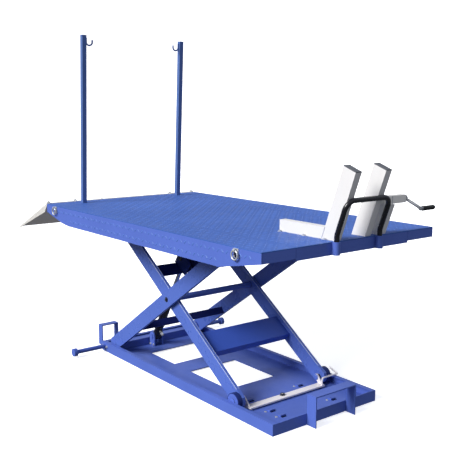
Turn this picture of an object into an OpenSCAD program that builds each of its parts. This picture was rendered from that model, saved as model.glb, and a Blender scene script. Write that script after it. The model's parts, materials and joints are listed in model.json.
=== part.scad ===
// Hydraulic scissor lift table for motorcycles, drawn raised on its safety lock.
// Millimetres. X runs forward to the wheel vise, Y to the left, Z up.
// Origin: on the floor, in the middle of the base's central cross plate.

/* [Scissor linkage] */
// angle of the arms above the floor in the raised pose, degrees
arm_angle = 34; // [20:0.5:45]
// distance from an end pivot to the centre pivot
half_link = 771; // [500:1:1000]
// height of the lower pivots and roller axles
pivot_low_z = 60; // [50:1:90]
// half of the arm's depth
arm_half = 45; // [30:1:60]
// thickness of each arm
arm_thick = 20; // [10:1:30]
// inner face of the inner arms, from the centreline
inner_arm_y = 298; // [200:1:320]
// inner face of the outer arms, from the centreline
outer_arm_y = 325; // [230:1:350]
// radius of the pivot bores
pin_bore_r = 15; // [8:0.5:20]
// radial running clearance of pins
fit = 0.05; // [0.01:0.01:0.1]
// radius of the track rollers
roller_r = 47.7; // [30:0.1:60]
// radius of the roller axles
axle_r = 12; // [8:0.5:16]
// width of a roller
roller_w = 28; // [15:1:40]

/* [Base frame] */
// centre of the base footprint, ahead of the origin
base_centre_x = 216; // [150:1:290]
// base length
base_length = 1734; // [1200:1:2200]
// base width
base_width = 764; // [500:1:900]
// base frame height
base_height = 62; // [50:1:90]
// wall of the rails and end plates
rail_wall = 5; // [3:0.5:8]
// width of the rails' inward lips
rail_lip = 22; // [15:1:30]
// thickness of the tray plate
tray_thick = 6; // [3:0.5:10]
// half width of the two tray windows
window_half_y = 178; // [100:1:250]
// rear window, start and end from the base centre
rear_window = [-582, -300]; // [-700:1:-200]
// front window, start and end from the base centre
front_window = [-133, 250]; // [-150:1:300]
// lock stops along the tray, from the base centre
lock_stops = [432, 611, 697]; // [400:1:760]

/* [Platform] */
// platform length
platform_length = 2200; // [1800:1:2500]
// platform width over the wings
platform_width = 1220; // [900:1:1300]
// width of the centre deck
centre_width = 800; // [500:1:900]
// deck plate thickness
deck_thick = 5; // [3:0.5:8]
// seam between the centre deck and a wing
seam = 2; // [0.5:0.5:5]
// platform rear edge, from the base centre
platform_rear = -1167; // [-1300:1:-900]
// depth of the skirts over their middle
skirt_depth = 115; // [60:1:150]
// depth of the skirts and wing end plates at the ends
skirt_end = 54; // [40:1:80]
// depth of the centre deck's front plate
front_depth = 64; // [40:1:90]
// length of the rear and front skirt tapers
skirt_taper = [230, 310]; // [100:5:400]
// deck surface above the upper pivots
deck_over_pivot = 60; // [55:1:80]
// cross beams under the deck, from the base centre
deck_beams = [-980, -420, -20, 380, 960]; // [-1100:5:980]
// height of the cross beams
deck_beam_h = 26; // [15:1:30]

/* [Hydraulic cylinder] */
// cylinder plane, from the centreline
cyl_y = -50; // [-120:1:120]
// foot pin, from the base centre and above the floor
cyl_foot = [-710, 76]; // [-740:1:80]
// rod pin on the inner arms: along the arm from the centre pivot, and above its line
rod_pin_at = [290, 30]; // [0:1:320]
// barrel outer radius
barrel_r = 27; // [20:1:35]
// barrel bore radius
barrel_bore = 22; // [15:0.5:30]
// piston rod radius
rod_r = 13; // [8:0.5:20]
// barrel length from the foot pin
barrel_length = 393; // [300:1:400]

/* [Wheel vise, stop and posts] */
// inner faces of the fixed and moving jaws
jaw_faces = [-98, 74]; // [-150:1:150]
// thickness of the jaws
jaw_thick = 42; // [30:1:60]
// width of the slanted uprights
upright_w = 84; // [60:1:110]
// length of the slanted uprights
upright_length = 358; // [250:1:450]
// slant of the uprights above the deck, degrees
upright_angle = 70; // [60:1:85]
// rear end of the vise and front toe of its uprights, from the base centre
vise_x = [632, 1025]; // [500:1:1040]
// height of the screw above the deck
screw_height = 177; // [120:1:220]
// radius of the wheel stop tube
hoop_r = 13; // [10:0.5:18]
// half spacing of the wheel stop legs
hoop_half = 154; // [100:1:200]
// lean of the wheel stop, degrees
hoop_lean = 20; // [0:1:35]
// post section
post_w = 30; // [20:1:40]
// post height above the deck
post_height = 1105; // [700:1:1300]
// post position from the rear edge and from the centreline
post_at = [92, 383]; // [60:1:379]
// forward lean of the posts and their sockets, in degrees
post_lean = 3; // [0:0.5:5]

/* [Ramp and lashing rings] */
// ramp length
ramp_length = 520; // [400:1:600]
// hanging angle of the ramp below level, degrees
ramp_angle = 24.3; // [15:0.1:30]
// half width of the ramp
ramp_half = 601; // [400:1:610]
// lashing ring positions from the base centre
ring_x = [-1034, 858]; // [-1120:1:980]
// major and minor radius of a lashing ring
ring_size = [22, 4]; // [3:0.5:30]

/* [Hidden] */
$fn = 64;
gap = 1;
bar_z = 20.6;
c = cos(arm_angle);
s = sin(arm_angle);
bx = base_centre_x;
hinge_x = bx - 770;
pivot_x = hinge_x + half_link * c;
pivot_z = pivot_low_z + half_link * s;
roll_x = hinge_x + 2 * half_link * c;
top_z = pivot_low_z + 2 * half_link * s;
deck_z = top_z + deck_over_pivot;
deck_low = deck_z - deck_thick;
tray_z = 2 * tray_thick;
base_x0 = bx - base_length / 2;
base_x1 = bx + base_length / 2;
base_y = base_width / 2;
plat_x0 = bx + platform_rear;
plat_x1 = plat_x0 + platform_length;
plat_y = platform_width / 2;
centre_y = centre_width / 2;
inner_out = inner_arm_y + arm_thick;
outer_out = outer_arm_y + arm_thick;
low_roller_y = inner_out + 3;
top_roller_y = outer_out + 8;
pin_r = pin_bore_r - fit;
ear_w = 8;
ear_r = 38;
foot_x = bx + cyl_foot[0];
foot_z = cyl_foot[1];
rod_pin_x = pivot_x - rod_pin_at[0] * c + rod_pin_at[1] * s;
rod_pin_z = pivot_z + rod_pin_at[0] * s + rod_pin_at[1] * c;
cyl_len = sqrt(pow(rod_pin_x - foot_x, 2) + pow(rod_pin_z - foot_z, 2));
cyl_angle = atan2(rod_pin_z - foot_z, rod_pin_x - foot_x);
eye_half = 25;
eye_r = 24;
beam_at = [-413, -44];
beam_size = [16, 45];
outrigger_x = bx - 830;
outrigger_z = 35;
outrigger_r = 14;
sleeve_wall = 4;
hoop_x = plat_x1 + 19;
socket_r = 18;
post_x = plat_x0 + post_at[0];
post_y = post_at[1];
toe_x = bx + vise_x[1];
screw_z = deck_z + screw_height;
up_c = cos(upright_angle);
up_s = sin(upright_angle);
screw_x = toe_x + (screw_z - deck_z) * up_c / up_s - upright_w / up_s / 2;
tube_w = 40;
jaw_out = jaw_faces[1] + jaw_thick;
bracket_y = [jaw_out + 52, jaw_out + 112];
tube_end = 330;
crank_len = 115.5;
crank_angle = -22.5;
crank_x = screw_x + crank_len * cos(crank_angle);
crank_z = screw_z + crank_len * sin(crank_angle);
ramp_x = plat_x0 - 20;
ramp_z = deck_z - 4;
ring_pin_y = plat_y + 13;
ring_pin_z = deck_z - 14;
blue = [0.2, 0.28, 0.62];
steel = [0.75, 0.75, 0.76];
white = [0.85, 0.85, 0.86];
black = [0.06, 0.06, 0.07];

// ---- helpers ----

// box between two corners
module box(a, b) {
    translate(a) cube([b[0] - a[0], b[1] - a[1], b[2] - a[2]]);
}

// outline drawn in X and Z, extruded from y0 to y1
module xz(y0, y1) {
    translate([0, y1, 0]) rotate([90, 0, 0]) linear_extrude(y1 - y0) children();
}

// outline drawn in Y and Z, extruded from x0 to x1
module yz(x0, x1) {
    translate([x0, 0, 0]) rotate([90, 0, 90]) linear_extrude(x1 - x0) children();
}

// round bar along Y
module bar_y(x, z, r, y0, y1) {
    translate([x, y1, z]) rotate([90, 0, 0]) cylinder(r = r, h = y1 - y0);
}

// the same thing on the left side of the machine
module left() {
    mirror([0, 1, 0]) children();
}

// a thing and its mirror image
module both() {
    children();
    left() children();
}

// ear plate outline standing on z0 round a bore
module ear_outline(x, z, z0, r, bore) {
    difference() {
        union() {
            translate([x, z]) circle(r);
            translate([x - r, min(z0, z)]) square([2 * r, abs(z - z0)]);
        }
        translate([x, z]) circle(bore);
    }
}

// coordinates on the outer arms: along the arm from the base hinge, and above it
module on_outer() {
    translate([hinge_x, pivot_low_z]) rotate(arm_angle) children();
}

// coordinates on the inner arms: along the arm from the roller axle, and above it
module on_inner() {
    translate([roll_x, pivot_low_z]) mirror([1, 0]) rotate(arm_angle) children();
}

// arm outline with its three bores; the lower end is cut upright
module arm_outline(low_bore, mid_bore, top_bore) {
    difference() {
        union() {
            translate([0, -arm_half]) square([2 * half_link, 2 * arm_half]);
            circle(arm_half);
            translate([2 * half_link, 0]) circle(arm_half);
            polygon([[0, 0], [0, arm_half], [-arm_half * 0.45, arm_half],
                [-arm_half * 0.8, arm_half * 0.42]]);
        }
        circle(low_bore);
        translate([half_link, 0]) circle(mid_bore);
        translate([2 * half_link, 0]) circle(top_bore);
    }
}

// points along the cylinder's axis, from the foot pin
module along_cylinder() {
    translate([foot_x, cyl_y, foot_z]) rotate([0, 90 - cyl_angle, 0]) children();
}

// slanted upright of the vise, of a given length
module upright_outline(len) {
    polygon([[toe_x - upright_w / up_s, deck_z], [toe_x, deck_z],
        [toe_x + len * up_c, deck_z + len * up_s],
        [toe_x + len * up_c - upright_w * up_s, deck_z + len * up_s + upright_w * up_c]]);
}

// tube bend: an arc of a round tube
module bend(r_major, r_minor, angle) {
    rotate_extrude(angle = angle) translate([r_major, 0]) circle(r_minor);
}

// ---- base frame ----

module base_rail() {
    difference() {
        union() {
            box([base_x0, -base_y, 0], [base_x1, -base_y + rail_wall, base_height]);
            box([base_x0 + rail_wall, -base_y + rail_wall, base_height - rail_wall],
                [base_x1 - rail_wall, -base_y + rail_wall + rail_lip, base_height]);
            box([base_x0 + rail_wall, -base_y + rail_wall, 0],
                [base_x1 - rail_wall, -base_y + rail_wall + rail_lip, tray_thick]);
        }
        bar_y(outrigger_x, outrigger_z, outrigger_r + 0.4, -base_y - 1, -base_y + 10);
    }
}

module base_rail_right() {
    color(blue) base_rail();
}

module base_rail_left() {
    color(blue) left() base_rail();
}

module base_end_webs() {
    y = base_y - rail_wall;
    color(blue) {
        box([base_x1 - rail_wall, -y, 0], [base_x1, y, base_height]);
        box([base_x0, -y, 0], [base_x0 + rail_wall, y, base_height]);
        box([base_x0 + rail_wall, -y + rail_lip, base_height - rail_wall],
            [base_x0 + rail_wall + rail_lip, y - rail_lip, base_height]);
    }
}

// lanced stop in the tray for the lock bar
module lock_stop(x, y) {
    xz(y - 18, y + 18)
        polygon([[x, tray_z], [x + 34, tray_z], [x + 34, tray_z + 8], [x + 30, tray_z + 8]]);
}

module base_tray() {
    y = base_y - rail_wall;
    color(blue) {
        difference() {
            box([base_x0 + rail_wall, -y, tray_thick], [base_x1 - rail_wall, y, tray_z]);
            for (w = [rear_window, front_window])
                box([bx + w[0], -window_half_y, 0],
                    [bx + w[1], window_half_y, tray_z + 1]);
        }
        box([-40, -y + rail_lip + gap, 0], [40, y - rail_lip - gap, tray_thick]);
        for (x = lock_stops, y = [-188, 188]) lock_stop(bx + x, y);
    }
}

module rear_beam() {
    color(blue) difference() {
        box([bx - 790, -300, tray_z], [bx - 745, 300, tray_z + 50]);
        box([bx - 786, -301, tray_z + 4], [bx - 749, 301, tray_z + 46]);
    }
}

module outrigger_sleeve() {
    color(blue) difference() {
        bar_y(outrigger_x, outrigger_z, outrigger_r + sleeve_wall,
            -base_y + rail_wall, base_y - rail_wall);
        bar_y(outrigger_x, outrigger_z, outrigger_r + 0.4, -base_y, base_y);
    }
}

module base_ears() {
    color(blue) {
        both() xz(outer_arm_y - gap - 2 * ear_w, outer_arm_y - gap)
            ear_outline(hinge_x, pivot_low_z, tray_z, ear_r, pin_r);
        for (y = [-eye_half - 2 - ear_w, eye_half + 2])
            xz(cyl_y + y, cyl_y + y + ear_w)
                ear_outline(foot_x, foot_z, tray_z, 30, axle_r - fit);
    }
}

module base_hinge_pins() {
    color(steel) {
        both() {
            bar_y(hinge_x, pivot_low_z, pin_r, outer_arm_y - gap - 2 * ear_w, outer_out);
            bar_y(hinge_x, pivot_low_z, 20, outer_arm_y - gap - 2 * ear_w - 6,
                outer_arm_y - gap - 2 * ear_w);
        }
        bar_y(foot_x, foot_z, axle_r - fit, cyl_y - 39, cyl_y + 39);
        bar_y(foot_x, foot_z, 16, cyl_y - 42, cyl_y - eye_half - 2 - ear_w);
    }
}

module rail_bolts() {
    color(steel) both() for (x = [-26, 26]) {
        bar_y(outrigger_x + x, outrigger_z, 9, base_y, base_y + 2);
        translate([outrigger_x + x, base_y + 8, outrigger_z]) rotate([90, 0, 0])
            cylinder(r = 7.5, h = 6, $fn = 6);
    }
}

module rear_guard() {
    y0 = -base_y + 2;
    color(blue) yz(base_x0 - 50, base_x0) difference() {
        translate([y0, 32]) square([124, 136]);
        translate([y0 + 6, 31]) square([112, 131]);
    }
}

module front_guard() {
    color(blue) yz(base_x1, base_x1 + 65) difference() {
        translate([-148, 0]) square([296, 168]);
        translate([-142, -1]) square([284, 163]);
    }
}

module outrigger() {
    bar_y(outrigger_x, outrigger_z, outrigger_r, -592, -225);
    bar_y(outrigger_x, outrigger_z, 26, -616, -592);
}

module outrigger_right() {
    color(blue) outrigger();
}

module outrigger_left() {
    color(blue) left() outrigger();
}

// ---- outer arms ----

module outer_arm() {
    xz(outer_arm_y, outer_out) on_outer() arm_outline(pin_bore_r, pin_bore_r, axle_r);
}

module outer_arm_right() {
    color(blue) left() outer_arm();
}

module outer_arm_left() {
    color(blue) outer_arm();
}

module outer_arm_beam() {
    color(blue) xz(-outer_arm_y, outer_arm_y) on_outer()
        translate([half_link + beam_at[0], beam_at[1]]) square(beam_size);
}

module upper_roller_pins() {
    color(steel) both() {
        bar_y(roll_x, top_z, axle_r, outer_arm_y, top_roller_y + roller_w + 1);
        bar_y(roll_x, top_z, 18, top_roller_y + roller_w + 1, top_roller_y + roller_w + 4);
    }
}

// ---- inner arms ----

module inner_arm() {
    xz(inner_arm_y, inner_out) on_inner() arm_outline(axle_r, pin_r, pin_bore_r);
}

module inner_arm_right() {
    color(blue) left() inner_arm();
}

module inner_arm_left() {
    color(blue) inner_arm();
}

module inner_lower_plate() {
    x0 = half_link - 450;
    color(blue) xz(-inner_arm_y, inner_arm_y) on_inner() {
        translate([x0, 10]) square([150, 8]);
        translate([x0, -30]) square([8, 40]);
    }
}

// cheek of the yoke, with a pocket on its inner face for the travel of the rod pin
module yoke_cheek() {
    px = half_link + rod_pin_at[0];
    pz = rod_pin_at[1];
    y = eye_half + 3;
    difference() {
        xz(y, y + ear_w + 3) on_inner() translate([px - 96, -34]) square([130, pz + 70]);
        xz(y - 1, y + ear_w) on_inner() translate([px - 80, pz - 34]) square([96, 56]);
    }
}

module cylinder_yoke() {
    color(blue) {
        difference() {
            xz(-inner_arm_y, inner_arm_y) on_inner()
                translate([half_link + 220, -42]) square([93, 8]);
            xz(cyl_y - 21, cyl_y + 21) on_inner()
                translate([half_link + 239, -50]) square([80, 40]);
        }
        translate([0, cyl_y, 0]) both() yoke_cheek();
    }
}

module centre_tube() {
    color(blue) difference() {
        bar_y(pivot_x, pivot_z, 19, -inner_arm_y, inner_arm_y);
        bar_y(pivot_x, pivot_z, pin_bore_r, -inner_arm_y - 1, inner_arm_y + 1);
    }
}

module inner_arm_pins() {
    color(steel) both() {
        bar_y(pivot_x, pivot_z, pin_r, inner_arm_y - 30, outer_out + gap);
        translate([pivot_x, outer_out + gap + 6, pivot_z]) rotate([90, 0, 0])
            cylinder(r = 10, h = 6, $fn = 6);
        bar_y(roll_x, pivot_low_z, axle_r, inner_arm_y - 28, low_roller_y + roller_w + 1);
        bar_y(roll_x, pivot_low_z, 18, low_roller_y + roller_w + 1,
            low_roller_y + roller_w + 3);
    }
}

// ---- rollers ----

module roller(z, y0) {
    difference() {
        bar_y(roll_x, z, roller_r, y0, y0 + roller_w);
        bar_y(roll_x, z, axle_r + fit, y0 - 1, y0 + roller_w + 1);
    }
}

module lower_roller_right() {
    color(blue) left() roller(pivot_low_z, low_roller_y);
}

module lower_roller_left() {
    color(blue) roller(pivot_low_z, low_roller_y);
}

module upper_roller_right() {
    color(black) left() roller(top_z, top_roller_y);
}

module upper_roller_left() {
    color(black) roller(top_z, top_roller_y);
}

// ---- safety lock ----

module lock_bar() {
    r = 5;
    hx = roll_x + 62;
    hz = pivot_low_z + 12;
    color(steel) {
        box([roll_x + 19, -280, bar_z], [roll_x + 69, 280, bar_z + 8]);
        both() xz(272, 280) difference() {
            union() {
                translate([roll_x, pivot_low_z]) circle(18);
                translate([roll_x, pivot_low_z]) polygon([[-18, 0], [12, 14],
                    [60, bar_z + 4 - pivot_low_z], [22, bar_z + 4 - pivot_low_z]]);
            }
            translate([roll_x, pivot_low_z]) circle(axle_r + fit);
        }
        translate([hx, 262, bar_z + 8]) cylinder(r = r, h = hz - 12 - bar_z - 8);
        translate([hx, 274, hz - 12]) rotate([90, 0, -90]) bend(12, r, 90);
        bar_y(hx, hz, r, 274, 380);
        translate([hx - 12, 380, hz]) bend(12, r, 90);
        translate([hx - 12, 392, hz]) rotate([0, -70, 0]) cylinder(r = r, h = 58);
        translate([hx - 12, 392, hz]) sphere(r);
        translate([roll_x + 32, -20, bar_z + 8]) cylinder(r = 11, h = 8, $fn = 6);
    }
}

// ---- hydraulic cylinder ----

module cylinder_barrel() {
    color(black) {
        difference() {
            union() {
                bar_y(foot_x, foot_z, 28, cyl_y - eye_half, cyl_y + eye_half);
                along_cylinder() translate([0, 0, 20]) cylinder(r = barrel_r,
                    h = barrel_length - 20);
                along_cylinder() translate([0, 0, 60]) rotate([0, 90, 0])
                    cylinder(r = 12, h = barrel_r + 10);
            }
            bar_y(foot_x, foot_z, axle_r, cyl_y - 30, cyl_y + 30);
            along_cylinder() translate([0, 0, 45]) cylinder(r = barrel_bore,
                h = barrel_length);
            along_cylinder() translate([0, 0, 60]) rotate([0, 90, 0])
                cylinder(r = 6.6, h = barrel_r + 20);
        }
    }
}

module cylinder_gland() {
    color(steel) along_cylinder() translate([0, 0, barrel_length]) difference() {
        cylinder(r = barrel_r, h = 10);
        translate([0, 0, -1]) cylinder(r = rod_r + 0.4, h = 12);
    }
}

module piston() {
    color(steel) along_cylinder() translate([0, 0, 330]) difference() {
        cylinder(r = barrel_bore - fit, h = 25);
        translate([0, 0, -1]) cylinder(r = rod_r, h = 27);
    }
}

module piston_rod() {
    color(steel) difference() {
        union() {
            along_cylinder() translate([0, 0, 330]) cylinder(r = rod_r, h = cyl_len - 330);
            bar_y(rod_pin_x, rod_pin_z, eye_r, cyl_y - eye_half, cyl_y + eye_half);
        }
        bar_y(rod_pin_x, rod_pin_z, axle_r, cyl_y - 30, cyl_y + 30);
    }
}

module rod_pin() {
    color(steel) bar_y(rod_pin_x, rod_pin_z, axle_r, cyl_y - 35.6, cyl_y + 35.6);
}

// ---- platform ----

// leans a post, its hole and its socket forward about the deck's top
module lean() {
    translate([post_x, 0, deck_z]) rotate([0, post_lean, 0]) translate([-post_x, 0, -deck_z])
        children();
}

module deck_centre() {
    y = centre_y - seam / 2;
    color(blue) difference() {
        box([plat_x0, -y, deck_low], [plat_x1, y, deck_z]);
        both() lean() box([post_x - post_w / 2 - 0.5, post_y - post_w / 2 - 0.5, deck_low - 3],
            [post_x + post_w / 2 + 0.5, post_y + post_w / 2 + 0.5, deck_z + 3]);
    }
}

module deck_wing() {
    box([plat_x0, centre_y + seam / 2, deck_low], [plat_x1, plat_y, deck_z]);
}

module deck_wing_right() {
    color(blue) left() deck_wing();
}

module deck_wing_left() {
    color(blue) deck_wing();
}

module platform_edges() {
    w = rail_wall;
    yc = centre_y - seam / 2;
    yw = centre_y + seam / 2;
    low = deck_z - skirt_depth;
    end = deck_z - skirt_end;
    color(blue) {
        both() {
            xz(plat_y - w, plat_y) polygon([[plat_x0, deck_low], [plat_x0, end],
                [plat_x0 + skirt_taper[0], low + 8], [plat_x0 + skirt_taper[0] + 90, low],
                [plat_x1 - skirt_taper[1], low], [plat_x1, end], [plat_x1, deck_low]]);
            box([plat_x1 - w, yw, end], [plat_x1, plat_y - w - gap, deck_low]);
            box([plat_x0, yw, end], [plat_x0 + w, plat_y - w - gap, deck_low]);
        }
        box([plat_x0, -yc, end], [plat_x0 + w, yc, deck_low]);
        box([plat_x1 - w, -yc, deck_z - front_depth], [plat_x1, yc, deck_low]);
    }
}

module deck_frame() {
    color(blue) {
        for (x = deck_beams)
            box([bx + x - 20, -plat_y + rail_wall + gap, deck_low - deck_beam_h],
                [bx + x + 20, plat_y - rail_wall - gap, deck_low]);
        both() box([roll_x - 62, top_roller_y - 3, top_z + roller_r + 0.3],
            [roll_x + 330, top_roller_y + roller_w + 3, deck_low]);
    }
}

module platform_ears() {
    color(blue) both() {
        xz(inner_arm_y - gap - ear_w, inner_arm_y - gap)
            ear_outline(hinge_x, top_z, deck_low, ear_r, pin_r);
        xz(inner_out + gap, outer_arm_y - gap)
            ear_outline(hinge_x, top_z, deck_low, ear_r, pin_r);
    }
}

module platform_pins() {
    color(steel) both() {
        bar_y(hinge_x, top_z, pin_r, inner_arm_y - gap - ear_w, outer_arm_y - gap);
        bar_y(hinge_x, top_z, 20, inner_arm_y - gap - ear_w - 6, inner_arm_y - gap - ear_w);
    }
}

module sockets() {
    color(blue) both() {
        difference() {
            lean() box([post_x - 20, post_y - 20, deck_low - 80],
                [post_x + 20, post_y + 20, deck_low + 3]);
            lean() box([post_x - post_w / 2 - 0.5, post_y - post_w / 2 - 0.5, deck_low - 76],
                [post_x + post_w / 2 + 0.5, post_y + post_w / 2 + 0.5, deck_low + 5]);
            box([post_x - 60, post_y - 60, deck_low], [post_x + 60, post_y + 60, deck_z + 5]);
        }
        translate([hoop_x, hoop_half, deck_z - 62]) difference() {
            union() {
                cylinder(r = socket_r, h = 64);
                box([plat_x1 - hoop_x, -12, 0], [0, 12, 60]);
            }
            translate([0, 0, 4]) cylinder(r = hoop_r + 0.4, h = 70);
        }
    }
}

// upright eye on the rear edge that carries the ramp's hinge rod
module rear_eye(y) {
    xz(y - 3, y + 3) difference() {
        union() {
            translate([ramp_x, ramp_z]) circle(19);
            translate([ramp_x, ramp_z - 16]) square([20, 16]);
        }
        translate([ramp_x, ramp_z]) circle(7 + fit);
    }
}

// plate and clip of a lashing ring
module ring_plate(x) {
    box([x - 18, plat_y, ring_pin_z - 36], [x + 18, plat_y + 4, ring_pin_z + 9]);
    yz(x - 6, x + 6) difference() {
        union() {
            translate([ring_pin_y, ring_pin_z]) circle(8);
            translate([plat_y + 4, ring_pin_z - 8]) square([ring_pin_y - plat_y - 4, 16]);
        }
        translate([ring_pin_y, ring_pin_z]) circle(ring_size[1] + 1.6);
    }
}

module lashing_eyes() {
    color(steel) both() {
        for (y = [391, 587]) rear_eye(y);
        for (x = ring_x) ring_plate(bx + x);
    }
}

// ---- wheel vise ----

module vise_bolts() {
    y = jaw_faces[0] - jaw_thick;
    color(steel) for (x = [bx + vise_x[0] + 12, bx + vise_x[0] + 190, toe_x - 60]) {
        box([x - 9, y - 18, deck_z], [x + 9, y, deck_z + 4]);
        translate([x, y - 9, deck_z + 4]) cylinder(r = 6.5, h = 5, $fn = 6);
    }
}

module vise_foot() {
    h = 61;
    x1 = toe_x - upright_w / up_s;
    color(white) xz(jaw_faces[0] - jaw_thick, jaw_faces[0])
        polygon([[bx + vise_x[0], deck_z], [x1, deck_z], [x1 + h * up_c / up_s, deck_z + h],
            [bx + vise_x[0], deck_z + h]]);
}

module vise_jaw_fixed() {
    color(white) xz(jaw_faces[0] - jaw_thick, jaw_faces[0]) upright_outline(upright_length);
}

module vise_bracket() {
    h = screw_height - tube_w / 2;
    w = upright_w / up_s;
    e = h * up_c / up_s;
    color(white) xz(bracket_y[0], bracket_y[1])
        polygon([[toe_x - w, deck_z], [toe_x, deck_z], [toe_x + e, deck_z + h],
            [toe_x - w + e, deck_z + h]]);
}

module vise_guide_tube() {
    color(white) difference() {
        xz(bracket_y[0], tube_end + 6)
            translate([screw_x - tube_w / 2, screw_z - tube_w / 2]) square(tube_w);
        xz(bracket_y[0] - 1, tube_end)
            translate([screw_x - 17, screw_z - 17]) square(34);
        bar_y(screw_x, screw_z, 10 + fit, tube_end - 1, tube_end + 7);
    }
}

module vise_jaw_moving() {
    color(white) difference() {
        union() {
            xz(jaw_faces[1], jaw_out) difference() {
                upright_outline(upright_length);
                translate([toe_x - 200, deck_z - 1]) square([300, 2]);
            }
            xz(jaw_out, 300) translate([screw_x - 16, screw_z - 16]) square(32);
        }
        bar_y(screw_x, screw_z, 11, jaw_out + 14, 301);
    }
}

module vise_screw() {
    color(steel) bar_y(screw_x, screw_z, 10, jaw_out + 34, tube_end + 27);
}

module crank_arm() {
    y = tube_end + 17;
    color(steel) difference() {
        union() {
            bar_y(screw_x, screw_z, 14, y - 10, y + 10);
            translate([screw_x, y, screw_z]) rotate([0, 90 - crank_angle, 0])
                cylinder(r = 8, h = crank_len);
            bar_y(crank_x, crank_z, 10, y - 9, y + 9);
            bar_y(crank_x, crank_z, 5, y, y + 104);
            bar_y(crank_x, crank_z, 10, y + 99, y + 103);
        }
        bar_y(screw_x, screw_z, 10, y - 11, y + 11);
    }
}

module crank_grip() {
    y = tube_end + 17;
    color(black) difference() {
        bar_y(crank_x, crank_z, 13, y + 10, y + 98);
        bar_y(crank_x, crank_z, 5 + fit, y, y + 99);
    }
}

// ---- wheel stop ----

// sleeve that joins two lengths of the wheel stop tube end to end
module tube_joint() {
    translate([0, 0, -4]) cylinder(r = hoop_r + 0.3, h = 8);
}

module wheel_stop_hoop() {
    r = 65;
    corner = 50;
    step = 2;
    z0 = deck_z + 21;
    rise = 120;
    y1 = hoop_half - corner;
    xa = hoop_x + r * (1 - cos(hoop_lean));
    za = z0 + r * sin(hoop_lean);
    color(black) {
        both() {
            translate([hoop_x, hoop_half, deck_z - 57])
                cylinder(r = hoop_r, h = z0 - deck_z + 57 - step);
            translate([hoop_x, hoop_half, z0]) tube_joint();
            translate([hoop_x + r, hoop_half, z0]) rotate([-90, 0, 0]) rotate([0, 0, 180])
                bend(r, hoop_r, hoop_lean);
            translate([xa, 0, za]) rotate([0, hoop_lean, 0]) {
                translate([0, hoop_half, 0]) tube_joint();
                translate([0, hoop_half, step]) cylinder(r = hoop_r, h = rise - 2 * step);
                translate([0, hoop_half, rise]) tube_joint();
                translate([0, y1, rise]) rotate([90, 0, 90]) bend(corner, hoop_r, 90);
                translate([0, y1, rise + corner]) rotate([90, 0, 0]) tube_joint();
            }
        }
        translate([xa, 0, za]) rotate([0, hoop_lean, 0])
            bar_y(0, rise + corner, hoop_r, -y1 + step, y1 - step);
    }
}

// ---- tie-down posts ----

module post() {
    w = post_w / 2;
    u = 22;
    rr = 5.5;
    y0 = post_y - w - rr + 0.5;
    z0 = deck_z + post_height - 43;
    difference() {
        box([post_x - w, post_y - w, deck_low - 75], [post_x + w, post_y + w,
            deck_z + post_height]);
        box([post_x - w + 2.5, post_y - w + 2.5, deck_low - 76], [post_x + w - 2.5,
            post_y + w - 2.5, deck_z + post_height - 3]);
    }
    translate([post_x, y0, z0]) cylinder(r = rr, h = 26);
    translate([post_x, y0 - u, z0]) rotate([90, 180, 90]) bend(u, rr, 180);
    translate([post_x, y0 - 2 * u, z0]) cylinder(r = rr, h = 14);
}

module post_right() {
    color(blue) left() lean() post();
}

module post_left() {
    color(blue) lean() post();
}

// ---- ramp ----

// coordinates on the ramp: down the slope from its hinge, and above the slope
module on_ramp() {
    translate([ramp_x, ramp_z]) mirror([1, 0]) rotate(-ramp_angle) children();
}

module ramp_plate() {
    y = ramp_half - 5;
    color(steel) {
        xz(-y, y) on_ramp() translate([24, 4]) square([ramp_length - 24, 4]);
        for (x = [50 : 50 : 450])
            xz(-y + 10, y - 10) on_ramp() translate([x, 8]) square([12, 2.5]);
    }
}

module ramp_frame() {
    color(steel) {
        for (y = [-ramp_half, -190, 185, ramp_half - 5])
            xz(y, y + 5) on_ramp() difference() {
                polygon([[-9, -9], [9, -9], [60, -38], [ramp_length - 30, -6],
                    [ramp_length, -6], [ramp_length, 4], [24, 4], [9, 9], [-9, 9]]);
                circle(7);
            }
        bar_y(ramp_x, ramp_z, 7, -ramp_half, ramp_half);
    }
}

// ---- lashing rings ----

module tie_ring(x) {
    translate([bx + x, ring_pin_y, ring_pin_z - ring_size[0]]) rotate([90, 0, 0])
        bend(ring_size[0], ring_size[1], 360);
}

module tie_ring_front_right() {
    color(steel) left() tie_ring(ring_x[1]);
}

module tie_ring_rear_right() {
    color(steel) left() tie_ring(ring_x[0]);
}

module tie_ring_front_left() {
    color(steel) tie_ring(ring_x[1]);
}

module tie_ring_rear_left() {
    color(steel) tie_ring(ring_x[0]);
}

base_rail_right();
base_rail_left();
base_end_webs();
base_tray();
rear_beam();
outrigger_sleeve();
base_ears();
base_hinge_pins();
rail_bolts();
rear_guard();
front_guard();
outrigger_right();
outrigger_left();
outer_arm_right();
outer_arm_left();
outer_arm_beam();
upper_roller_pins();
inner_arm_right();
inner_arm_left();
inner_lower_plate();
cylinder_yoke();
centre_tube();
inner_arm_pins();
lower_roller_right();
lower_roller_left();
upper_roller_right();
upper_roller_left();
lock_bar();
cylinder_barrel();
cylinder_gland();
piston();
piston_rod();
rod_pin();
deck_centre();
deck_wing_right();
deck_wing_left();
platform_edges();
deck_frame();
platform_ears();
platform_pins();
sockets();
lashing_eyes();
vise_bolts();
vise_foot();
vise_jaw_fixed();
vise_bracket();
vise_guide_tube();
vise_jaw_moving();
vise_screw();
crank_arm();
crank_grip();
wheel_stop_hoop();
post_right();
post_left();
ramp_plate();
ramp_frame();
tie_ring_front_right();
tie_ring_rear_right();
tie_ring_front_left();
tie_ring_rear_left();
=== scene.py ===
import json
import math
import bmesh
import bpy
from mathutils import Matrix, Vector


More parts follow.
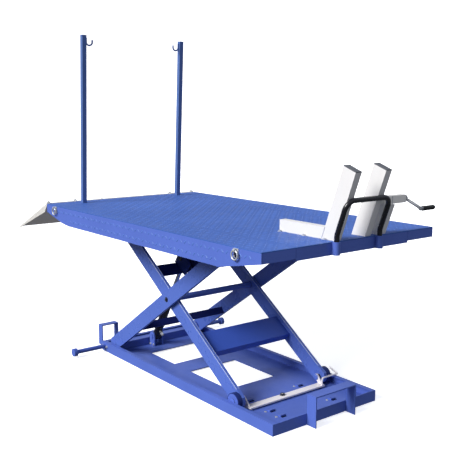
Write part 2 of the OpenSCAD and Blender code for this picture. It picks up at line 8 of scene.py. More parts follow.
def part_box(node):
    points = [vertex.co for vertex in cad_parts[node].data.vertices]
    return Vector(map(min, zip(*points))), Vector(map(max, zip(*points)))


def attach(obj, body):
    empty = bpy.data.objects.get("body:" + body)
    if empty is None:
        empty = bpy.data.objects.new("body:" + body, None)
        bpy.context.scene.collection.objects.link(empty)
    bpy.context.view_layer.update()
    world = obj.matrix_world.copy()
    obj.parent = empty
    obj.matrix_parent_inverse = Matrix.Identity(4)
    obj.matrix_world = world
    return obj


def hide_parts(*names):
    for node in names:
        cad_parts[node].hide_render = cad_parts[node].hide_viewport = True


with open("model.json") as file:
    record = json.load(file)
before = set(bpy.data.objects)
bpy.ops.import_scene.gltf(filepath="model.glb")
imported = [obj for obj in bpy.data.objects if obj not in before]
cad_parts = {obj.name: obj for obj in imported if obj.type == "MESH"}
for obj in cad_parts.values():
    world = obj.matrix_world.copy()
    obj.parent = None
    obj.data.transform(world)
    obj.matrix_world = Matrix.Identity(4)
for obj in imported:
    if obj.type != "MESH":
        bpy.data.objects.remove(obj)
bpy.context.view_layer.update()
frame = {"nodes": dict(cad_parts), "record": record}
nodes, rec = frame["nodes"], frame["record"]
scene = bpy.context.scene

# Metres. X runs forward to the wheel vise, Y to the left, Z up.
RIGHT, LEFT = -1, 1
ENDS = (-1, 1)
ALONG_X, ALONG_Y, UP = (1, 0, 0), (0, 1, 0), (0, 0, 1)
RING_SIDES = {"tie_ring_front_right": RIGHT, "tie_ring_rear_right": RIGHT,
              "tie_ring_front_left": LEFT, "tie_ring_rear_left": LEFT}
LOWER_ROLLERS = ("lower_roller_right", "lower_roller_left")

# ------------------------------------------------------------------ materials

# painted light: a warm tone standing for bounce light from the floor, mixed into downward faces
FLOOR_BOUNCE_TONE = (0.98, 0.87, 0.72)
COAT_ROUGHNESS = 0.12
BUMP_DEPTH = 0.0006
FACTOR, FIRST, SECOND = 0, 6, 7   # the colour sockets of a Mix node


def linear(hex_colour):
    """The linear red, green and blue of a hex colour."""
    parts = [int(hex_colour[i:i + 2], 16) / 255 for i in (1, 3, 5)]
    return [x / 12.92 if x < 0.04045 else ((x + 0.055) / 1.055) ** 2.4 for x in parts]


class Nodes:
    """The nodes of one material or of the sky. Most methods add a node and give back its output."""

    def __init__(self, tree, place="Object"):
        self.tree = tree
        self.place = self.add("TexCoord").outputs[place]

    def add(self, kind):
        return self.tree.nodes.new("ShaderNode" + kind)

    def feed(self, socket, value):
        """Puts a number, a colour or another node's output into a socket."""
        if isinstance(value, (int, float)):
            socket.default_value = value
        elif isinstance(value, (list, tuple)):
            socket.default_value = (*value, 1)
        else:
            self.tree.links.new(value, socket)

    def noise(self, scale, detail=4.0, roughness=0.55, place=None):
        node = self.add("TexNoise")
        self.feed(node.inputs["Scale"], scale)
        self.feed(node.inputs["Detail"], detail)
        self.feed(node.inputs["Roughness"], roughness)
        self.feed(node.inputs["Vector"], place or self.place)
        return node.outputs["Fac"]

    def cells(self, scale):
        node = self.add("TexVoronoi")
        self.feed(node.inputs["Scale"], scale)
        self.feed(node.inputs["Vector"], self.place)
        return node

    def remap(self, value, source, target):
        node = self.add("MapRange")
        node.inputs["From Min"].default_value, node.inputs["From Max"].default_value = source
        node.inputs["To Min"].default_value, node.inputs["To Max"].default_value = target
        self.feed(node.inputs["Value"], value)
        return node.outputs["Result"]

    def mix(self, factor, first, second):
        node = self.add("Mix")
        node.data_type = "RGBA"
        self.feed(node.inputs[FACTOR], factor)
        self.feed(node.inputs[FIRST], first)
        self.feed(node.inputs[SECOND], second)
        return node.outputs[2]

    def maths(self, operation, first, second):
        node = self.add("Math")
        node.operation = operation
        self.feed(node.inputs[0], first)
        self.feed(node.inputs[1], second)
        return node.outputs[0]

    def stretched(self, scale):
        node = self.add("Mapping")
        node.inputs["Scale"].default_value = scale
        self.feed(node.inputs["Vector"], self.place)
        return node.outputs["Vector"]

    def facing_up(self):
        """The height of the surface's normal: 1 on top faces, -1 on undersides."""
        node = self.add("SeparateXYZ")
        self.feed(node.inputs[0], self.add("NewGeometry").outputs["Normal"])
        return node.outputs["Z"]


def finish(name, base, rough=0.4, metal=0.0, broad=0.08, broad_scale=2.5, grain=220.0, grain_bump=0.08,
           dust_and_shade=0.0, dust_and_shade_color="#9AA3B8", chips=0.0, chip_color="#5B6070", rough_var=0.08, coat=0.0,
           streak=None, spangle=0.0, spec=0.5, floor_bounce=0.0):
    """A paint, plating or moulding: broad tone, grain, spangle, streaks, small chips, a mix on top faces that
    is dust on most paints and painted shade on the vise tube, and painted warm floor-bounce light on
    undersides.
    """
    material = bpy.data.materials.new(name)
    material.use_nodes = True
    shader = material.node_tree.nodes["Principled BSDF"]
    kit = Nodes(material.node_tree)
    tone = linear(base)

    dark = [v * (1 - broad) for v in tone]
    light = [min(1, v * (1 + broad)) for v in tone]
    colour = kit.mix(kit.remap(kit.noise(broad_scale), (0.3, 0.7), (0, 1)), dark, light)
    relief = fine = kit.noise(grain, 3.0)
    colour = kit.mix(kit.remap(fine, (0.35, 0.65), (0, 0.22)), colour, [v * 0.86 for v in tone])
    roughness = kit.remap(kit.noise(14.0, 5.0), (0.3, 0.7), (rough - rough_var, rough + rough_var))
    if spangle:
        flake = kit.add("SeparateColor")
        kit.feed(flake.inputs[0], kit.cells(55.0).outputs["Color"])
        amount = kit.remap(flake.outputs[0], (0, 1), (0, spangle))
        colour = kit.mix(amount, colour, [v * 0.62 for v in tone])
        roughness = kit.maths("ADD", roughness, kit.remap(flake.outputs[1], (0, 1), (-0.08, 0.1)))
    if streak:
        lines = kit.noise(60.0, 2.0, 0.6, kit.stretched(streak))
        relief = kit.maths("ADD", fine, lines)
        colour = kit.mix(kit.remap(lines, (0.35, 0.7), (0, 0.25)), colour, [v * 0.75 for v in tone])
    # painted warm bounce light from the floor on downward faces
    if floor_bounce:
        down = kit.remap(kit.facing_up(), (-0.3, -0.7), (0, floor_bounce))
        patches = kit.remap(kit.noise(6.0, 5.0, 0.6), (0.3, 0.7), (0.75, 1.0))
        colour = kit.mix(kit.maths("MULTIPLY", down, patches), colour, FLOOR_BOUNCE_TONE)
    # a mix on top faces: dust on most paints, painted shade on the vise tube
    if dust_and_shade:
        top = kit.remap(kit.facing_up(), (0.4, 1.0), (0, 1))
        patches = kit.remap(kit.noise(7.0, 6.0, 0.65), (0.35, 0.75), (0, dust_and_shade))
        mask = kit.maths("MULTIPLY", top, patches)
        colour = kit.mix(mask, colour, linear(dust_and_shade_color))
        roughness = kit.maths("ADD", roughness, kit.maths("MULTIPLY", mask, 0.35))
    if chips:
        spots = kit.remap(kit.cells(24.0).outputs["Distance"], (0.03, 0.06), (1, 0))
        worn_areas = kit.remap(kit.noise(3.5, 2.0), (0.55, 0.62), (0, chips))
        mask = kit.maths("MULTIPLY", spots, worn_areas)
        colour = kit.mix(mask, colour, linear(chip_color))
        roughness = kit.maths("ADD", roughness, kit.maths("MULTIPLY", mask, 0.3))

    bump = kit.add("Bump")
    for socket, value in (("Strength", grain_bump), ("Distance", BUMP_DEPTH), ("Height", relief)):
        kit.feed(bump.inputs[socket], value)
    for socket, value in (("Base Color", colour), ("Roughness", roughness), ("Metallic", metal),
                          ("Specular IOR Level", spec), ("Coat Weight", coat),
                          ("Coat Roughness", COAT_ROUGHNESS), ("Normal", bump.outputs["Normal"])):
        kit.feed(shader.inputs[socket], value)
    material.diffuse_color = (*tone, 1)
    return material


MATERIALS = {
    "blue_paint": finish("powder_coat_blue", "#556CBD", 0.36, grain_bump=0.04, dust_and_shade=0.02,
                         dust_and_shade_color="#5E70B0", chips=0.4, broad=0.07, spec=0.2),
    # painted shade: a darker copy of the blue paint for the yoke and the lower rollers, which stand in shade
    "blue_painted_shade": finish("powder_coat_painted_shade", "#25336F", 0.42, chips=0.2, broad=0.07, spec=0.12),
    "blue_shadow": finish("powder_coat_shadow", "#1B2664", 0.45, chips=0.2, broad=0.07, spec=0.08),
    "blue_plate": finish("powder_coat_plate", "#3F5BB6", 0.38, chips=0.3, broad=0.07, spec=0.2),
    "arm_blue": finish("powder_coat_arm", "#546DBE", 0.28, dust_and_shade=0.02, dust_and_shade_color="#5E70B0",
                       broad=0.05, spec=0.45, grain_bump=0.02, rough_var=0.03),
    "deck_paint": finish("deck_coat_blue", "#4565AE", 0.46, dust_and_shade=0.03, dust_and_shade_color="#6F84BC", chips=0.5,
                         broad=0.12, broad_scale=1.6, spec=0.06),
    "tread_blue": finish("tread_worn_blue", "#5272BB", 0.4, broad=0.10, broad_scale=1.6, spec=0.16),
    "post_paint": finish("post_coat_blue", "#5872AA", 0.38, chips=0.3, broad=0.06, spec=0.2),
    # painted highlight: pale blue for the strips along the arms' rounded edges
    "edge_painted_highlight": finish("rounded_edge_painted_highlight", "#C6D0F0", 0.2, grain_bump=0.02, spec=0.6),
    "vise_paint": finish("vise_coat", "#E1DEDA", 0.45, dust_and_shade=0.03, dust_and_shade_color="#8F9096", chips=0.35,
                         chip_color="#76777B", broad=0.04, spec=0.15),
    # the vise tube: a lighter copy of the vise paint, painted light for its front faces, with painted shade
    # greying its top faces
    "vise_shade": finish("vise_tube_painted_light_and_shade", "#F4F0E8", 0.45, dust_and_shade=0.6, dust_and_shade_color="#8A8A8C", chips=0.3,
                         chip_color="#76777B", broad=0.04, spec=0.15),
    "black_paint": finish("black_enamel", "#121117", 0.28, coat=0.45, grain_bump=0.1, chips=0.3,
                          chip_color="#2A2B30", spec=0.3),
    "zinc": finish("zinc_plate", "#D0D2D4", 0.32, 0.55, grain=160, grain_bump=0.15),
    "crank_steel": finish("crank_steel", "#85878B", 0.4, 0.3, grain=160, grain_bump=0.15),
    "dark_steel": finish("blued_steel", "#3A3D46", 0.42, 0.5, grain=160, grain_bump=0.2),
    # the galvanised parts get painted warm floor-bounce light on their undersides
    "galvanised": finish("galvanised", "#E4E0D8", 0.45, 0.15, spangle=0.35, grain=120, grain_bump=0.12,
                         floor_bounce=0.8),
    "lock_steel": finish("lock_plate", "#F0EAEA", 0.45, streak=(1, 0.05, 1), grain_bump=0.2),
    "chrome_rod": finish("chrome_rod", "#C9CBCE", 0.14, 1.0, rough_var=0.04, grain_bump=0.03),
    "roller_poly": finish("roller_plastic", "#1B1C20", 0.5, grain_bump=0.3),
    "grip": finish("grip_rubber", "#131315", 0.62, grain_bump=0.6, grain=320, rough_var=0.1),
    "cap_grey": finish("end_cap_grey", "#5C5E63", 0.5, grain_bump=0.3, spec=0.25),
    "weld": finish("weld_blue", "#3C55A6", 0.42, grain=420, grain_bump=0.5),
    "weld_white": finish("weld_white", "#BFC0C4", 0.45, grain=420, grain_bump=0.5),
    "shade": finish("slot_shade", "#0A0F2C", 0.7, spec=0.05),
}
# CAD pieces whose paint differs in tone from the rest of their slot. The darker blues on the yoke, the lower
# rollers and the outer beam are painted shade, and the vise tube's paint holds painted light and shade.
TONES = {
    "blue_paint": ("platform_edges", "base_hinge_pins"),
    "blue_painted_shade": ("cylinder_yoke", *LOWER_ROLLERS),
    "blue_shadow": ("outer_arm_beam",),
    "blue_plate": ("inner_lower_plate",),
    "arm_blue": ("inner_arm_right", "inner_arm_left", "outer_arm_right", "outer_arm_left"),
    "post_paint": ("post_right", "post_left"),
    "vise_paint": ("vise_bracket",),
    "vise_shade": ("vise_guide_tube",),
    "crank_steel": ("crank_arm",),
}


def paint_cad():
    """The record's material on every CAD piece, or the tone named for it."""
    material_of = {s["node"]: s["material_slot"] for s in rec["subparts"]}
    for material, group in TONES.items():
        material_of.update({name: material for name in group})
    for name, node in nodes.items():
        node.data.materials.clear()
        node.data.materials.append(MATERIALS[material_of[name]])


def soften(thing, width, segments, angle=math.radians(30)):
    """Rounds the edges that are sharper than the angle."""
    bevel = thing.modifiers.new("edge", "BEVEL")
    bevel.width = width
    bevel.segments = segments
    bevel.limit_method = "ANGLE"
    bevel.angle_limit = angle


def soften_cad():
    """Softened edges on the plates, bars and castings, but not on the round parts named here."""
    round_parts = {*RING_SIDES, "wheel_stop_hoop", "piston", "crank_grip"}
    for name, node in nodes.items():
        if name not in round_parts:
            width = 0.003 if name in TONES["arm_blue"] else 0.0012
            soften(node, width, 2, math.radians(50))


paint_cad()
soften_cad()

# ------------------------------------------------------------------ places and pieces

body_of = {name: body for body, group in rec["behaviour"]["bodies"].items() for name in group}


def lo(name):
    return Vector(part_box(name)[0])


def hi(name):
    return Vector(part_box(name)[1])


def mid(name):
    return (lo(name) + hi(name)) / 2


def piece(name, mesh, material, body, smooth=False):
    thing = bpy.data.objects.new(name, mesh)
    scene.collection.objects.link(thing)
    mesh.materials.append(MATERIALS[material])
    if smooth:
        for face in mesh.polygons:
            face.use_smooth = True
    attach(thing, body)
    return thing


def from_points(name, points, faces, material, body, smooth=False):
    mesh = bpy.data.meshes.new(name)
    mesh.from_pydata(points, [], faces)
    mesh.update()
    return piece(name, mesh, material, body, smooth)


def from_bmesh(name, solid, material, body):
    mesh = bpy.data.meshes.new(name)
    solid.normal_update()
    solid.to_mesh(mesh)
    solid.free()
    return piece(name, mesh, material, body)


def hexbolt(name, at, axis, radius, height, body):
    """A zinc hex head with a washer and a chamfered top, standing on a face."""
    washer = .0018
    cones = ((28, radius * 1.5, radius * 1.5 * .97, washer, washer / 2),
             (6, radius, radius, height, washer + height / 2),
             (24, radius * .86, radius * .74, height * .14, washer + height * 1.06))
    solid = bmesh.new()
    for segments, low_radius, top_radius, depth, centre in cones:
        bmesh.ops.create_cone(solid, cap_ends=True, segments=segments, radius1=low_radius, radius2=top_radius,
                              depth=depth, matrix=Matrix.Translation((0, 0, centre)))
    turn = Vector(UP).rotation_difference(Vector(axis)).to_matrix().to_4x4()
    bmesh.ops.transform(solid, matrix=Matrix.Translation(at) @ turn, verts=solid.verts)
    from_bmesh(name, solid, "zinc", body)


def bead(name, start, end, body, radius, material="weld"):
    """A weld bead with overlapping ripples."""
    step, sides = .004, 8
    start, end = Vector(start), Vector(end)
    run = end - start
    along = run.normalized()
    reference = Vector(UP) if abs(along.z) < .9 else Vector(ALONG_X)
    u = along.cross(reference).normalized()
    v = along.cross(u)
    count = max(8, int(run.length / step))
    points, faces = [], []
    for i in range(count + 1):
        taper = .35 if i in (0, count) else 1
        ripple = radius * (.82 + .22 * abs(math.sin(i * 1.9))) * taper
        for k in range(sides):
            angle = 2 * math.pi * k / sides
            points.append(start + run * (i / count) + (u * math.cos(angle) + v * math.sin(angle)) * ripple)
    for i in range(count):
        here, there = i * sides, (i + 1) * sides
        for k in range(sides):
            k_next = (k + 1) % sides
            faces.append((here + k, here + k_next, there + k_next, there + k))
    faces.append(tuple(range(sides)))
    faces.append(tuple(count * sides + k for k in reversed(range(sides))))
    from_points(name, points, faces, material, body, True)


def vise_bead(name, start, end, radius):
    bead(name, start, end, "platform", radius, "weld_white")


def slab(name, corners, normal, height, bevel, material, body):
    """A plate on the face given by its corners, with softened edges."""
    solid = bmesh.new()
    rise = Vector(normal) * height
    low = [solid.verts.new(Vector(c)) for c in corners]
    top = [solid.verts.new(Vector(c) + rise) for c in corners]
    count = len(corners)
    solid.faces.new(list(reversed(low)))
    solid.faces.new(top)
    for i in range(count):
        i_next = (i + 1) % count
        solid.faces.new((low[i], low[i_next], top[i_next], top[i]))
    bmesh.ops.recalc_face_normals(solid, faces=solid.faces)
    soften(from_bmesh(name, solid, material, body), bevel, 3)


def lathe(name, at, axis, profile, material, body, segments=48, capped=True):
    """A turned piece from points (radius, distance along the axis). Uncapped, it closes into a ring."""
    turn = Vector(UP).rotation_difference(Vector(axis)).to_matrix()
    points, faces = [], []
    for radius, distance in profile:
        for k in range(segments):
            angle = 2 * math.pi * k / segments
            points.append(Vector(at) + turn @ Vector((radius * math.cos(angle), radius * math.sin(angle),
                                                      distance)))
    for i in range(len(profile) - capped):
        here, there = i * segments, (i + 1) % len(profile) * segments
        for k in range(segments):
            k_next = (k + 1) % segments
            faces.append((here + k, here + k_next, there + k_next, there + k))
    if capped:
        faces.append(tuple(reversed(range(segments))))
        faces.append(tuple((len(profile) - 1) * segments + k for k in range(segments)))
    thing = from_points(name, points, faces, material, body, True)
    split = thing.modifiers.new("split", "EDGE_SPLIT")
    split.split_angle = math.radians(40)
    return thing


# ------------------------------------------------------------------ raised tread

TREAD_PITCH = .034
LOZENGE_LENGTH, LOZENGE_WIDTH, LOZENGE_HEIGHT = .026, .0075, .0014
# a lozenge's six corners on the face and six on its crown: halves of its length and width, and level
LOZENGE = ((-1, 0, 0), (-.55, -1, 0), (.55, -1, 0), (1, 0, 0), (.55, 1, 0), (-.55, 1, 0),
           (-.6, 0, 1), (-.45, -.45, 1), (.45, -.45, 1), (.6, 0, 1), (.45, .45, 1), (-.45, .45, 1))
ANY_HEIGHT = 9   # a margin that leaves no tread above or below a box


def around(name, low_margin, high_margin):
    """The box round a node, with margins, that the tread leaves free."""
    return lo(name) - Vector(low_margin), hi(name) + Vector(high_margin)


def inside(point, box):
    return all(a < p < b for a, p, b in zip(box[0], point, box[1]))


def tread(name, origin, u, v, normal, length, height, free):
    """Raised lozenges in alternating directions over a face, except in the free boxes."""
    origin, u, v, normal = map(Vector, (origin, u, v, normal))
    columns, rows = int(length / TREAD_PITCH), int(height / TREAD_PITCH)
    points, faces = [], []
    for i in range(columns):
        for j in range(rows):
            centre = origin + u * ((i + 0.5) * length / columns) + v * ((j + 0.5) * height / rows)
            if any(inside(centre, box) for box in free):
                continue
            angle = math.radians(45 if (i + j) % 2 else -45)
            half_long = (u * math.cos(angle) + v * math.sin(angle)) * LOZENGE_LENGTH / 2
            half_wide = (v * math.cos(angle) - u * math.sin(angle)) * LOZENGE_WIDTH / 2
            first = len(points)
            for x, y, level in LOZENGE:
                points.append(centre + half_long * x + half_wide * y + normal * (LOZENGE_HEIGHT * level))
            low = [first + s for s in range(6)]
            top = [first + 6 + s for s in range(6)]
            for s in range(6):
                s_next = (s + 1) % 6
                faces.append((low[s], low[s_next], top[s_next], top[s]))
            faces.append(tuple(top))
    from_points(name, points, faces, "tread_blue", "platform")


def deck_tread():
    """Tread over the centre deck and the wings, clear of the vise and the posts."""
    border = .012
    free = [around("vise_foot", (.01, .01, ANY_HEIGHT), (.13, .01, ANY_HEIGHT)),
            around("vise_jaw_moving", (.01, .08, ANY_HEIGHT), (.01, -.10, ANY_HEIGHT)),
            around("vise_bracket", (.01, .01, ANY_HEIGHT), (.01, .01, ANY_HEIGHT))]
    for name in ("post_left", "post_right"):
        # the posts lean forward, so that only their lower ends stand in the deck
        low, high = around(name, (.008, .012, ANY_HEIGHT), (0, .012, ANY_HEIGHT))
        high.x = lo(name).x + .05
        free.append((low, high))
    for name in ("deck_centre", "deck_wing_right", "deck_wing_left"):
        a, b = lo(name), hi(name)
        tread("tread_" + name, (a.x + border, a.y + border, b.z), ALONG_X, ALONG_Y, UP,
              b.x - a.x - 2 * border, b.y - a.y - 2 * border, free)


def skirt_tread():
    """An upper and a shorter lower row of tread on each skirt, clear of the lashing rings."""
    free = [around(name, (0, .05, .03), (0, .05, .05)) for name in RING_SIDES]
    a, b = lo("platform_edges"), hi("platform_edges")
    for side, y, out in (("right", a.y, RIGHT), ("left", b.y, LEFT)):
        tread("tread_skirt_" + side, (a.x + .06, y, b.z - .048), ALONG_X, UP, (0, out, 0),
              b.x - a.x - .12, .036, free)
        tread("tread_skirt_low_" + side, (a.x + .33, y, a.z + .006), ALONG_X, UP, (0, out, 0),
              b.x - a.x - .65, .052, free)


deck_tread()
skirt_tread()

# ------------------------------------------------------------------ wheel vise

# the jaws' slope above the deck, their depth and length, and the moving jaw's width
JAW_LEAN = math.radians(70)
JAW_DEPTH, JAW_LENGTH, MOVING_JAW_WIDTH = .084, .358, .042


def jaw_caps():
    """Grey caps on the upper ends of the slanted jaws."""
    up_jaw = Vector((math.cos(JAW_LEAN), 0, math.sin(JAW_LEAN)))
    across = Vector((-math.sin(JAW_LEAN), 0, math.cos(JAW_LEAN)))
    for name in ("vise_jaw_fixed", "vise_jaw_moving"):
        a, b = lo(name), hi(name)
        y_low = a.y
        y_high = b.y if name == "vise_jaw_fixed" else a.y + MOVING_JAW_WIDTH
        back = Vector((b.x - JAW_DEPTH * math.sin(JAW_LEAN), 0, b.z))
        front = back - across * JAW_DEPTH
        corners = [(back.x, y_low, back.z), (front.x, y_low, front.z), (front.x, y_high, front.z),
                   (back.x, y_high, back.z)]
        slab("end_cap_" + name, corners, up_jaw, .0045, .0008, "cap_grey", body_of[name])


def vise_welds():
    """White beads round the foot and along the bracket's guide tube."""
    heel_x = hi("vise_jaw_fixed").x - JAW_LENGTH * math.cos(JAW_LEAN) - JAW_DEPTH / math.sin(JAW_LEAN)
    a, b = lo("vise_foot"), hi("vise_foot")
    for side, y in (("near", a.y), ("far", b.y)):
        vise_bead("weld_foot_" + side, (heel_x, y, a.z + .002), (b.x, y, b.z), .0022)
    vise_bead("weld_foot_deck", (a.x + .01, a.y, a.z + .001), (heel_x + .07, a.y, a.z + .001), .002)
    a, b = lo("vise_guide_tube"), hi("vise_guide_tube")
    y = hi("vise_bracket").y
    vise_bead("weld_tube_under", (a.x + .002, y, a.z), (b.x - .002, y, a.z), .0025)
    vise_bead("weld_tube_front", (b.x, y, a.z), (b.x, y, b.z), .0025)


jaw_caps()
vise_welds()

# ------------------------------------------------------------------ welds of the base and the linkage


def guard_welds():
    """Beads where the rear strap guard and the front guard meet the base."""
    a, b = lo("rear_guard"), hi("rear_guard")
    for i, (y, out) in enumerate(((a.y + .003, -.003), (b.y - .003, .003))):
        bead("weld_rear_guard_%d" % i, (b.x, y - .003, a.z), (b.x, y + .003, a.z), "base", .0025)
        bead("weld_rear_guard_side_%d" % i, (a.x + .002, y + out, a.z), (b.x - .002, y + out, a.z),
             "base", .0025)
    a, b = lo("front_guard"), hi("front_guard")
    web_top = hi("base_end_webs").z
    for i, y in enumerate((a.y, a.y + .006, b.y - .006, b.y)):
        bead("weld_front_guard_%d" % i, (a.x + .001, y, a.z + .004), (a.x + .001, y, web_top - .003),
             "base", .0026)


def beam_welds():
    """Beads along both sides of the rear beam's foot."""
    a, b = lo("rear_beam"), hi("rear_beam")
    for side, x in (("front", b.x), ("back", a.x)):
        bead("weld_rear_beam_" + side, (x, a.y + .004, a.z), (x, b.y - .004, a.z), "base", .003)


def linkage_welds():
    """Beads at the ends of the lower plate and round the ends of the centre tube."""
    a, b = lo("inner_lower_plate"), hi("inner_lower_plate")
    for i, y in enumerate((a.y * .997, b.y * .997)):
        bead("weld_lower_plate_%d" % i, (a.x + .004, y, b.z - .004), (b.x - .006, y, a.z + .03),
             "inner_arms", .003)
    a, b, centre = lo("centre_tube"), hi("centre_tube"), mid("centre_tube")
    radius = (b.z - a.z) / 2
    for i, (y, inward) in enumerate(((a.y + .002, 1), (b.y - .002, -1))):
        profile = [(radius + .0002, 0), (radius + .0028, .0008 * inward), (radius + .0002, .003 * inward)]
        lathe("weld_centre_tube_%d" % i, (centre.x, y, centre.z), ALONG_Y, profile, "weld", "inner_arms",
              40)


guard_welds()
beam_welds()
linkage_welds()

# ------------------------------------------------------------------ details of the platform and the tray


def ring_rivets():
    """Four rivets on the plate of each lashing ring."""
    rivet = [(.0036, 0), (.0034, .0012), (.0024, .0021), (.0008, .0025)]
    for name, side in RING_SIDES.items():
        centre = mid(name)
        face = side * (hi("platform_edges").y + .004)
        for i, (dx, dz) in enumerate(((-.0125, .023), (.0125, .023), (-.0125, -.008), (.0125, -.008))):
            lathe("rivet_%s_%d" % (name, i), (centre.x + dx, face, centre.z + dz), (0, side, 0), rivet,
                  "zinc", "platform", 16)


def ring_painted_shadows():
    """A thin dark disc on the skirt behind each lashing ring: a painted shadow in the ring's eye."""
    for name, side in RING_SIDES.items():
        centre = mid(name)
        face = side * (hi("platform_edges").y + .0042)
        lathe("painted_shadow_" + name, (centre.x, face, centre.z), (0, side, 0),
              [(.0125, 0), (.0125, .0005), (.010, .0006)], "shade", "platform", 32)


def lock_stops():
    """A thin dark sheet on the tray at each lanced stop, a painted shade for the slot behind it, and a rivet.
    """
    tray_top = .012
    slot_start, slot_end, slot_half = .0345, .047, .017
    rivet = [(.0075, 0), (.007, .0016), (.0045, .003), (.001, .0034)]
    for i, stop in enumerate((1.294, 1.473, 1.559)):
        x = lo("base_tray").x + stop
        for j, y in enumerate((-.188, .188)):
            corners = [(x + slot_start, y - slot_half, tray_top), (x + slot_end, y - slot_half, tray_top),
                       (x + slot_end, y + slot_half, tray_top), (x + slot_start, y + slot_half, tray_top)]
            slab("stop_slot_%d_%d" % (i, j), corners, UP, .0004, .0001, "shade", "base")
            lathe("stop_rivet_%d_%d" % (i, j), (x + .02, y - .035, tray_top), UP, rivet, "zinc", "base",
                  20)


ring_rivets()
ring_painted_shadows()
lock_stops()

# ------------------------------------------------------------------ details of the linkage

# the cylinder's foot pin, from the corner of the barrel's box
FOOT_PIN_INSET = .028
foot_pin = Vector((lo("cylinder_barrel").x + FOOT_PIN_INSET, mid("cylinder_barrel").y,
                   lo("cylinder_barrel").z + FOOT_PIN_INSET))
rod_pin = mid("rod_pin")
axle = mid("lower_roller_right")


def ear_bolts():
    """Two bolts in each of the ears that hold the cylinder's foot."""
    for i, dx in enumerate((-.018, .018)):
        for end in ENDS:
            hexbolt("ear_bolt_%d_%d" % (i, end), (foot_pin.x + dx, foot_pin.y + end * .035, .021),
                    (0, end, 0), .0055, .004, "base")


def yoke_bosses():
    """The heads of the rod pin, on both cheeks of the yoke."""
    head = [(.019, 0), (.019, .002), (.0165, .0035), (.0165, .004), (.006, .0045), (.004, .003)]
    for end in ENDS:
        lathe("yoke_boss_%d" % end, (rod_pin.x, rod_pin.y + end * .039, rod_pin.z), (0, end, 0), head,
              "dark_steel", "inner_arms")


def roller_discs():
    """Painted steel discs on both faces of the lower rollers."""
    disc = [(.0125, 0), (.0435, 0), (.0435, .0006), (.040, .0009), (.022, .0009), (.0205, .0004),
            (.0125, .0004)]
    for name in LOWER_ROLLERS:
        for end, y in ((-1, lo(name).y), (1, hi(name).y)):
            lathe("disc_%s_%d" % (name, end), (mid(name).x, y, mid(name).z), (0, end, 0), disc,
                  "blue_paint", body_of[name], capped=False)


def axle_caps():
    """Painted caps over both ends of each lower axle."""
    outer_face, inner_face = hi("lower_roller_left").y + .0031, .2718
    outer_cap = [(.0186, 0), (.0186, .0006), (.016, .0012), (.001, .0015)]
    inner_cap = [(.0188, 0), (.0188, .0022), (.0165, .0042), (.001, .005)]
    for end in ENDS:
        lathe("axle_cap_out_%d" % end, (axle.x, end * outer_face, axle.z), (0, end, 0), outer_cap,
              "blue_paint", "inner_arms", 40)
        lathe("axle_cap_in_%d" % end, (axle.x, end * inner_face, axle.z), (0, -end, 0), inner_cap,
              "arm_blue", "inner_arms", 40)


def arm_edge_highlights():
    """Pale glossy strips along the upper edges of the inner arms: a painted highlight on their rounded edges.
    """
    radius, above_axis, start_gap, both_gaps = .0016, .0438, .09, .13
    cross = mid("centre_tube")
    half_arm = Vector((axle.x - cross.x, 0, axle.z - cross.z))
    along = half_arm.normalized()
    across = Vector((-along.z, 0, along.x))
    if across.z < 0:
        across = -across
    for name in ("inner_arm_right", "inner_arm_left"):
        for end, y in ((-1, lo(name).y), (1, hi(name).y)):
            start = Vector((cross.x, y - end * .0012, cross.z))
            start += across * above_axis - along * (half_arm.length - start_gap)
            lathe("edge_%s_%d" % (name, end), start, along,
                  [(radius, 0), (radius, 2 * half_arm.length - both_gaps)], "edge_painted_highlight", "inner_arms",
                  8)


def lock_screw():
    """A dark socket screw in the middle of the lock bar."""
    x, y = axle.x + .032, -.020
    lathe("lock_screw", (x, y, .0286), UP,
          [(.0155, 0), (.0155, .0016), (.0125, .0018), (.0125, .0092), (.0115, .0102), (.006, .0102),
           (.006, .0072)], "dark_steel", "lock", 36)
    lathe("lock_screw_socket", (x, y, .0358), UP, [(.0055, 0), (.0055, .0006), (.003, .0008)], "zinc",
          "lock", 6)


ear_bolts()
yoke_bosses()
roller_discs()
axle_caps()
arm_edge_highlights()
lock_screw()

# ------------------------------------------------------------------ cylinder and crank


def port_fitting():
    """A hex nipple with a closed end, and its collar, on the barrel's port."""
    mount = next(m for m in rec["mounts"] if m["name"] == "hydraulic_port")
    port, axis = Vector(mount["pos_m"]), Vector(mount["axis"])
    lathe("port_nipple", port, axis,
          [(.0105, 0), (.0105, .007), (.0075, .008), (.0075, .013), (.0085, .014), (.0085, .024),
           (.006, .026), (.002, .0265)], "zinc", "barrel", 6)
    lathe("port_collar", port - axis * .0015, axis, [(.0125, 0), (.0125, .0025), (.0115, .0035)],
          "dark_steel", "barrel", 40)


def barrel_weld():
    """A weld ring round the barrel, below the gland."""
    below_gland = .30
    rod_direction = (rod_pin - foot_pin).normalized()
    lathe("barrel_weld", mid("cylinder_gland") - rod_direction * below_gland, rod_direction,
          [(.0262, 0), (.0272, 0), (.0292, .0015), (.0292, .0035), (.0272, .005), (.0262, .005)],
          "black_paint", "barrel", segments=40, capped=False)


def ribbed_grip():
    """The crank's grip in ribbed rubber, with a flange and a rounded end, in place of the plain CAD one."""
    ribs, bore, valley, crest = 11, .0052, .0112, .0122
    length = hi("crank_grip").y - lo("crank_grip").y
    profile = [(bore, 0), (.0128, 0), (.013, .0015), (.013, .004), (valley, .0055)]
    for i in range(ribs):
        z = .008 + i * (length - .02) / ribs
        profile += [(valley, z), (crest, z + .001), (crest, z + .0035), (valley, z + .0045)]
    profile += [(valley, length - .009), (.0127, length - .007), (.0127, length - .003),
                (.0105, length - .0008), (bore, length)]
    centre = mid("crank_grip")
    grip = lathe("grip_ribbed", (centre.x, lo("crank_grip").y, centre.z), ALONG_Y, profile, "grip", "grip",
                 segments=56, capped=False)
    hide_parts("crank_grip")


port_fitting()
barrel_weld()
ribbed_grip()

# ------------------------------------------------------------------ stage, light and camera


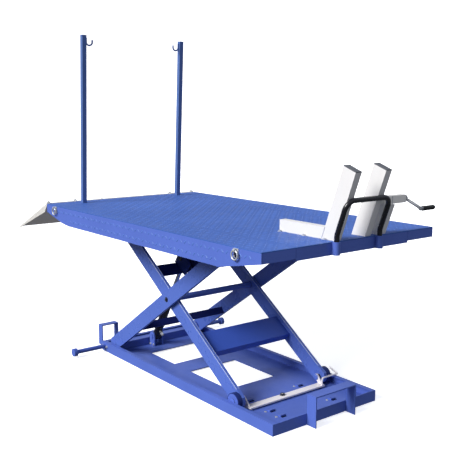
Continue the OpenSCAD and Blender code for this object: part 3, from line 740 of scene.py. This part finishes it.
def sweep():
    """Round studio sweep: a flat floor that curves up into a pale wall."""
    floor_radius, bend, wall_top, below, sides = 6.5, 3.5, 7.5, .0006, 96
    curve = [math.radians(k) for k in range(0, 91, 6)]
    profile = [(0, 0)]
    profile += [(floor_radius + bend * math.sin(t), bend - bend * math.cos(t)) for t in curve]
    profile += [(floor_radius + bend, wall_top)]
    points, faces = [], []
    for radius, z in profile:
        for k in range(sides):
            angle = 2 * math.pi * k / sides
            points.append((radius * math.cos(angle), radius * math.sin(angle), z - below))
    for i in range(len(profile) - 1):
        here, there = i * sides, (i + 1) * sides
        for k in range(sides):
            k_next = (k + 1) % sides
            faces.append((here + k, there + k, there + k_next, here + k_next))
    mesh = bpy.data.meshes.new("floor")
    mesh.from_pydata(points, [], faces)
    mesh.update()
    for face in mesh.polygons:
        face.use_smooth = True
    floor = bpy.data.objects.new("floor", mesh)
    scene.collection.objects.link(floor)
    paper = finish("studio_floor", "#F4F4F4", 0.95, broad=0.004, grain_bump=0.01, spec=0.05)
    shader = paper.node_tree.nodes["Principled BSDF"]
    shader.inputs["Emission Color"].default_value = (1, 1, 1, 1)
    shader.inputs["Emission Strength"].default_value = 0.68
    mesh.materials.append(paper)
    floor.visible_shadow = False
    floor.visible_diffuse = False
    floor.visible_glossy = False


def sky():
    """A cool sky that is dim below the horizon and brighter above it."""
    world = bpy.data.worlds.new("studio")
    scene.world = world
    world.use_nodes = True
    tree = world.node_tree
    background = tree.nodes["Background"]
    background.inputs["Color"].default_value = (0.86, 0.92, 1.06, 1)
    kit = Nodes(tree, "Generated")
    height = kit.add("SeparateXYZ")
    kit.feed(height.inputs[0], kit.place)
    kit.feed(background.inputs["Strength"], kit.remap(height.outputs["Z"], (-0.25, 0.35), (0.16, 0.5)))


def sun():
    """One broad, soft sun from behind the camera's left shoulder."""
    key = bpy.data.lights.new("key", "SUN")
    key.energy = 4.0
    key.angle = math.radians(28)
    lamp = bpy.data.objects.new("key", key)
    scene.collection.objects.link(lamp)
    lamp.rotation_euler = Vector((0.10, 0.80, -0.58)).to_track_quat("-Z", "Y").to_euler()


def photo_camera():
    """The photo's point of view, as fitted to the deck, the base, the arms and the posts."""
    heading, pitch, roll = (math.radians(d) for d in (141.915916, -8.852198, 0.080214))
    forward = Vector((math.cos(heading) * math.cos(pitch), math.sin(heading) * math.cos(pitch),
                      math.sin(pitch)))
    level_right = Vector((math.sin(heading), -math.cos(heading), 0))
    level_up = level_right.cross(forward)
    right = level_right * math.cos(roll) + level_up * math.sin(roll)
    up = right.cross(forward)
    camera = bpy.data.cameras.new("photo_view")
    camera.sensor_width = 36
    camera.sensor_fit = "HORIZONTAL"
    camera.lens = 59.318
    camera.clip_end = 100
    holder = bpy.data.objects.new("photo_view", camera)
    scene.collection.objects.link(holder)
    turn = Matrix((right, up, -forward)).transposed().to_4x4()
    holder.matrix_world = Matrix.Translation((3.69751, -2.72424, 1.60278)) @ turn
    scene.camera = holder
    scene.view_settings.view_transform = "Standard"


sweep()
sky()
sun()
photo_camera()
